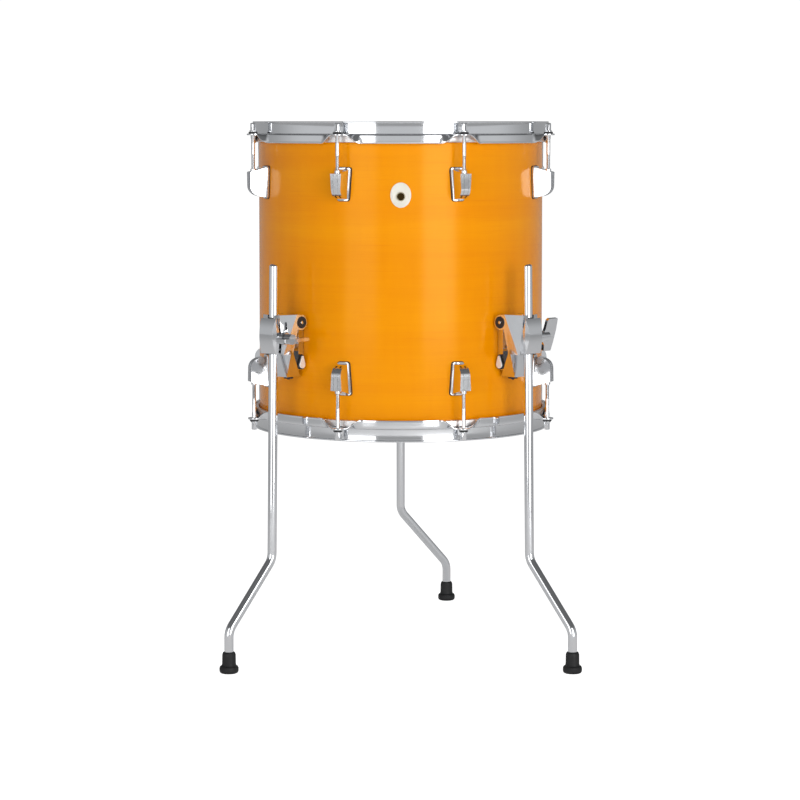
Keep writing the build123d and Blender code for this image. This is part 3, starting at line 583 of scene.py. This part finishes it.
# ---- everything that keeps its CAD shape ---------------------------------------------------
cleaned("upper_lugs", CAST_CHROME, "drum", 0.0005)
cleaned("lower_lugs", CAST_CHROME, "drum", 0.0005)
cleaned("lug_gaskets", RUBBER, "drum")
cleaned("lug_inserts", CHROME, "drum", 0.0003)
cleaned("lug_screws", ZINC, "drum")
cleaned("lug_screw_washers", ZINC, "drum")
cleaned("badge", BADGE, "drum", 0.0002)
cleaned("vent_grommet", BRASS, "drum", 0.0002)
cleaned("bracket_gaskets", RUBBER, "drum")
cleaned("bracket_bases", CAST_CHROME, "drum", 0.0008)
cleaned("bracket_bodies", CAST_CHROME, "drum", 0.0014)
cleaned("bracket_caps", CAST_CHROME, "drum", 0.0005)
cleaned("cap_screws", ZINC, "drum", 0.0002)
cleaned("bracket_pins", CHROME, "drum", 0.0005)
cleaned("bracket_bushings", RUBBER, "drum", 0.0003)
cleaned("side_bumpers", RUBBER, "drum", 0.0004)
cleaned("bumper_caps", SATIN, "drum", 0.0006)
cleaned("tail_bumpers", RUBBER, "drum", 0.0003)
cleaned("bracket_screws", ZINC, "drum")
cleaned("bracket_screw_washers", ZINC, "drum")
for side in BRACKETS:
    cleaned(f"{side}_sleeve", NYLON, f"{side}_sleeve")
    cleaned(f"{side}_shoe", ZINC, f"{side}_shoe", 0.0003)
    cleaned(f"{side}_wing_screw", CAST_CHROME, f"{side}_wing_screw", 0.0006)
    cleaned(f"{side}_leg", CHROME, f"{side}_leg")
    cleaned(f"{side}_foot", FOOT_RUBBER, f"{side}_leg", 0.0006)

# ---- stage, light, camera --------------------------------------------------------------------
scene = bpy.context.scene


def pale_floor(half, bright, seen_by_chrome):
    """A white floor that reads as bright paper to the eye and as a softer grey in reflections."""
    mesh = bpy.data.meshes.new("pale floor")
    mesh.from_pydata([(-half, -half, 0), (half, -half, 0), (half, half, 0), (-half, half, 0)], [], [(0, 1, 2, 3)])
    thing = bpy.data.objects.new("pale floor", mesh)
    scene.collection.objects.link(thing)
    mat = bpy.data.materials.new("pale floor")
    mat.use_nodes = True
    tree = mat.node_tree
    bsdf = tree.nodes["Principled BSDF"]
    bsdf.inputs["Base Color"].default_value = (0.70, 0.70, 0.70, 1)
    bsdf.inputs["Roughness"].default_value = 0.9
    bsdf.inputs["Specular IOR Level"].default_value = 0.05
    bsdf.inputs["Emission Color"].default_value = (1, 1, 1, 1)
    ray = tree.nodes.new("ShaderNodeLightPath")
    extra = math_node(tree, "MULTIPLY", ray.outputs["Is Camera Ray"], bright - seen_by_chrome)
    link(tree, math_node(tree, "ADD", extra, seen_by_chrome), bsdf.inputs["Emission Strength"])
    mesh.materials.append(mat)
    thing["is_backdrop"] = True


pale_floor(14.0, 0.90, 0.22)


def studio_world():
    """White behind the drum for the camera; for the light on the drum a grey room, darkest
    overhead and dimmer behind."""
    world = bpy.data.worlds.new("studio")
    scene.world = world
    world.use_nodes = True
    tree = world.node_tree
    for node in list(tree.nodes):
        tree.nodes.remove(node)
    coord = tree.nodes.new("ShaderNodeTexCoord")
    sep = tree.nodes.new("ShaderNodeSeparateXYZ")
    link(tree, coord.outputs["Generated"], sep.inputs[0])

    def falling(value, start, end, top, bottom):
        span = tree.nodes.new("ShaderNodeMapRange")
        span.interpolation_type = "SMOOTHSTEP"
        for label, number in (("From Min", start), ("From Max", end), ("To Min", top), ("To Max", bottom)):
            span.inputs[label].default_value = number
        link(tree, value, span.inputs["Value"])
        return span.outputs["Result"]

    upward = falling(sep.outputs["Z"], 0.12, 0.62, ROOM, ROOM_TOP)
    behind = falling(sep.outputs["Y"], -0.25, 0.55, 1.0, ROOM_BACK)
    lit = tree.nodes.new("ShaderNodeBackground")
    lit.inputs["Color"].default_value = (0.97, 0.985, 1.0, 1)
    link(tree, math_node(tree, "MULTIPLY", upward, behind), lit.inputs["Strength"])
    seen = tree.nodes.new("ShaderNodeBackground")
    seen.inputs["Color"].default_value = (1, 1, 1, 1)
    seen.inputs["Strength"].default_value = 1.05
    path = tree.nodes.new("ShaderNodeLightPath")
    mix = tree.nodes.new("ShaderNodeMixShader")
    out = tree.nodes.new("ShaderNodeOutputWorld")
    link(tree, path.outputs["Is Camera Ray"], mix.inputs["Fac"])
    link(tree, lit.outputs[0], mix.inputs[1])
    link(tree, seen.outputs[0], mix.inputs[2])
    link(tree, mix.outputs[0], out.inputs["Surface"])


ROOM = 0.62
ROOM_TOP = 0.16
ROOM_BACK = 0.60
studio_world()


def softbox(name, azimuth, distance, low, high, width, power, mirrored=True):
    """An upright area light, azimuth in degrees to the right of the camera's side, turned to
    face the drum's axis; mirrored says whether polished faces show it."""
    lamp = bpy.data.lights.new(name, "AREA")
    lamp.shape = "RECTANGLE"
    lamp.size, lamp.size_y = width, high - low
    lamp.energy = power
    thing = bpy.data.objects.new(name, lamp)
    scene.collection.objects.link(thing)
    turn = math.radians(azimuth)
    x = AXIS[0] + distance * math.sin(turn)
    y = AXIS[1] - distance * math.cos(turn)
    thing.location = (x, y, (low + high) / 2)
    thing.rotation_euler = (math.pi / 2, 0, turn)
    thing.visible_glossy = mirrored


softbox("softbox right", 30, 3.0, 0.03, 1.9, 1.35, 30)
softbox("softbox left", -31, 3.0, 0.03, 1.9, 1.30, 14)
softbox("front fill", 6, 3.2, 0.3, 1.9, 1.6, 14, mirrored=False)

overhead_data = bpy.data.lights.new("overhead fill", "AREA")
overhead_data.size = 1.4
overhead_data.energy = 16
overhead = bpy.data.objects.new("overhead fill", overhead_data)
scene.collection.objects.link(overhead)
overhead.location = (AXIS[0], AXIS[1], 2.9)
overhead.visible_glossy = False

# Camera at the height of the top hoop, far off, so the rim is seen edge on.
EYE = 3.54
SHIFT = 0.12
FOCAL = 111.7
FULL_DROP = 0.3494         # how far below the optical axis the frame's middle sits, in widths
camera_data = bpy.data.cameras.new("camera")
camera_data.sensor_width = 36
camera_data.lens = FOCAL
camera_data.shift_y = -SHIFT
camera = bpy.data.objects.new("camera", camera_data)
scene.collection.objects.link(camera)
camera.location = (-0.001, AXIS[1] - EYE, float(cad_high[2]))
tilt = math.atan(FULL_DROP * 36 / FOCAL) - math.atan(SHIFT * 36 / FOCAL)
camera.rotation_euler = (math.pi / 2 - tilt, 0, 0)
scene.camera = camera
scene.view_settings.view_transform = "Standard"
scene.view_settings.look = "None"

low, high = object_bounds()
